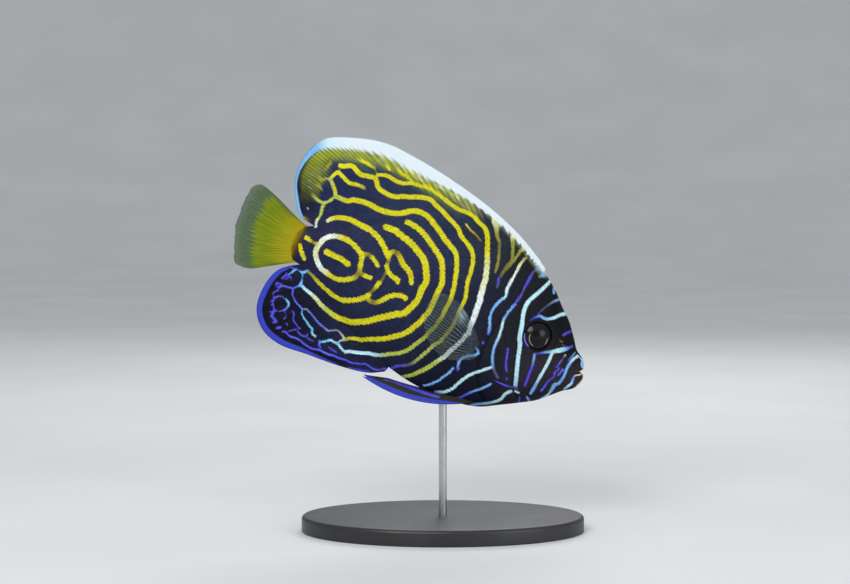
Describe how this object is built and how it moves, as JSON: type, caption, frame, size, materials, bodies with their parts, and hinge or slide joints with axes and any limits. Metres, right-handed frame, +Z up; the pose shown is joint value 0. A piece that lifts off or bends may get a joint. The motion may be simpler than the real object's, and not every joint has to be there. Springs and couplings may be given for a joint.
{
  "type": "emperor angelfish display model",
  "caption": "Life-size still model of a young emperor angelfish, head down on a slim rod and oval base, rayed fins spread.",
  "frame": {"origin": "on the floor under the middle of the whole model's outline", "axes": "+Z up, +X towards the snout seen from above, +Y to the fish's left; the fish itself is turned 25 degrees head down about Y"},
  "size_m": [0.109, 0.06, 0.1225],
  "materials": {
    "body_skin": "satin scaled skin, navy with yellow and pale blue curved bands",
    "head_skin": "satin skin, near black with light blue lines",
    "cheek_spine": "smooth blue spine",
    "eye": "clear gloss over a dark iris",
    "back_fin": "satin rayed fin, navy and yellow with a white edge",
    "belly_fin": "satin rayed fin, dark with blue lines and a blue edge",
    "tail_fin": "satin rayed fin, yellow with a clear grey-green edge",
    "clear_fin": "clear rayed fin with pale rays",
    "stand_base": "satin black paint",
    "stand_rod": "satin steel"
  },
  "bodies": {
    "root": {"head": "head_skin", "upper_jaw": "head_skin", "lower_jaw": "head_skin", "torso": "body_skin", "tail_root": "body_skin", "gill_cover_right": "head_skin", "gill_cover_left": "head_skin", "cheek_spine_right": "cheek_spine", "cheek_spine_left": "cheek_spine", "eye_right": "eye", "eye_left": "eye", "dorsal_fin_spiny": "back_fin", "dorsal_fin_soft": "back_fin", "anal_fin": "belly_fin", "tail_fin": "tail_fin", "pectoral_fin_right": "clear_fin", "pectoral_fin_left": "clear_fin", "pelvic_fin_right": "belly_fin", "pelvic_fin_left": "belly_fin", "stand_base": "stand_base", "stand_rod": "stand_rod"}
  },
  "joints": []
}
